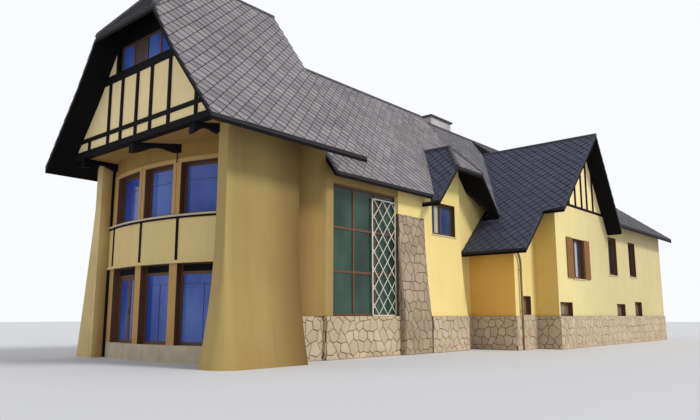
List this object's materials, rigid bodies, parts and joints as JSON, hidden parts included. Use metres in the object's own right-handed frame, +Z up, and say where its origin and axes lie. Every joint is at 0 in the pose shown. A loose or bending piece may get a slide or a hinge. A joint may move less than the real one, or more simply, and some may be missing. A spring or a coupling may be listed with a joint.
{
  "type": "half timbered house",
  "caption": "Hollow half timbered villa with a bowed garden front, steep tiled roofs, dormer, cross gable, hinged garden doors and shutters.",
  "frame": {"origin": "middle of the house's bounding box at ground level", "axes": "+X along the long side, away from the timbered main gable; the garden front faces -Y; +Z up"},
  "size_m": [32.28, 11.43, 12.41],
  "materials": {
    "plaster": "ochre lime render, matt",
    "panel_plaster": "cream render, matt",
    "rubble_stone": "polygonal rubble stone with dark joints",
    "roof_tiles": "weathered small roof tiles",
    "dark_timber": "tarred timber and boards",
    "brown_frames": "brown stained wood",
    "window_glass": "clear window glass",
    "sill_stone": "pale cast stone",
    "floor_boards": "oiled floor boards",
    "shutter_wood": "brown stained boards",
    "iron": "blackened iron",
    "chimney_render": "pale render",
    "slate_cap": "dark slab",
    "pipe_metal": "painted rain pipe"
  },
  "bodies": {
    "house": {"near_wing_wall": "plaster", "far_wing_wall": "plaster", "recess_wall": "plaster", "bow_threshold": "sill_stone", "bow_lower_piers": "plaster", "bow_band": "panel_plaster", "band_timbers": "dark_timber", "bow_sill": "sill_stone", "bow_upper_piers": "plaster", "bow_head": "plaster", "garden_window_frames": "brown_frames", "garden_window_glass": "window_glass", "door_hinges": "iron", "upper_window_frames": "brown_frames", "upper_window_glass": "window_glass", "jetty_beam": "dark_timber", "jetty_brackets": "dark_timber", "gable_panels": "panel_plaster", "gable_timbers": "dark_timber", "attic_window_frames": "brown_frames", "attic_window_glass": "window_glass", "front_rear_gable": "plaster", "front_roof": "roof_tiles", "stair_wall": "plaster", "stair_window_frame": "brown_frames", "stair_window_glass": "window_glass", "stone_pier": "rubble_stone", "bay_wall": "plaster", "strip_wall": "plaster", "range_roof": "roof_tiles", "dormer_roof": "roof_tiles", "annex_wall": "plaster", "wing_front_wall": "plaster", "wing_end_wall": "plaster", "rear_wall": "plaster", "cross_gable_panels": "panel_plaster", "cross_gable_timbers": "dark_timber", "cross_gable_roof": "roof_tiles", "wing_roof": "roof_tiles", "ridge_caps": "roof_tiles", "soffits": "dark_timber", "plinth": "rubble_stone", "side_window_frames": "brown_frames", "side_window_glass": "window_glass", "shutter_pintles": "iron", "ground_floor": "sill_stone", "upper_floors": "floor_boards", "loft_floors": "floor_boards", "chimney": "chimney_render", "chimney_cap": "slate_cap", "downpipe": "pipe_metal"},
    "garden_door_near": {"door_leaf_near": "brown_frames", "door_glass_near": "window_glass"},
    "garden_door_far": {"door_leaf_far": "brown_frames", "door_glass_far": "window_glass"},
    "shutter_left": {"shutter_left": "shutter_wood"},
    "shutter_right": {"shutter_right": "shutter_wood"}
  },
  "joints": [
    {"name": "garden_door_far_hinge", "type": "hinge", "parent": "house", "child": "garden_door_far", "pos_m": [-13.8829, 3.9592, 1.2], "axis": [0, 0, 1], "range_deg": [0, 90]},
    {"name": "garden_door_near_hinge", "type": "hinge", "parent": "house", "child": "garden_door_near", "pos_m": [-14.0744, 2.4433, 1.2], "axis": [0, 0, -1], "range_deg": [0, 90]},
    {"name": "shutter_left_hinge", "type": "hinge", "parent": "house", "child": "shutter_left", "pos_m": [2.34, -5.0475, 3.8], "axis": [0, 0, 1], "range_deg": [0, 180]},
    {"name": "shutter_right_hinge", "type": "hinge", "parent": "house", "child": "shutter_right", "pos_m": [3.64, -5.0475, 3.8], "axis": [0, 0, -1], "range_deg": [0, 180]}
  ]
}
